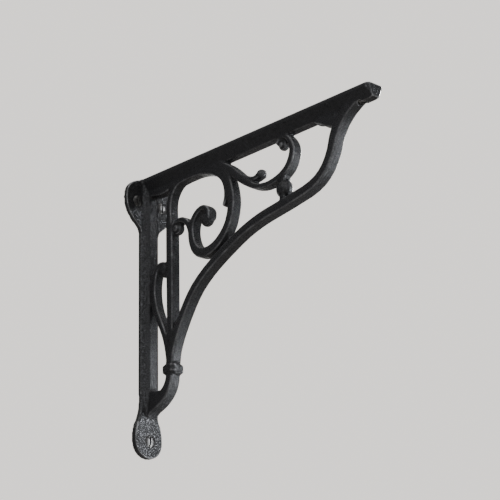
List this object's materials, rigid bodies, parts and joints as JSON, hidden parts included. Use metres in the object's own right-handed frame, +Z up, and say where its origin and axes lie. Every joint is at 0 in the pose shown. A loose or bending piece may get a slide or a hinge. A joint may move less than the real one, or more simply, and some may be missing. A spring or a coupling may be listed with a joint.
{
  "type": "ornate cast iron shelf bracket",
  "caption": "Ornate cast iron shelf bracket with a ridged arm and upright, a curved brace, scrolls, a ball, a collar, and slotted screws in its holes.",
  "frame": {"origin": "on the back face, midway between the two upper screw holes", "axes": "+Y out of the back face, +Z up to the arm's flat top, the arm reaching out along -Y"},
  "size_m": [0.046, 0.238, 0.217],
  "materials": {
    "iron": "satin black paint over cast iron, finely grained",
    "screw_steel": "worn, dark in the slots"
  },
  "bodies": {
    "root": {"bracket_casting": "iron", "ear_screw_left": "screw_steel", "ear_screw_right": "screw_steel", "lug_screw": "screw_steel", "arm_screw_inner": "screw_steel", "arm_screw_outer": "screw_steel"}
  },
  "joints": []
}
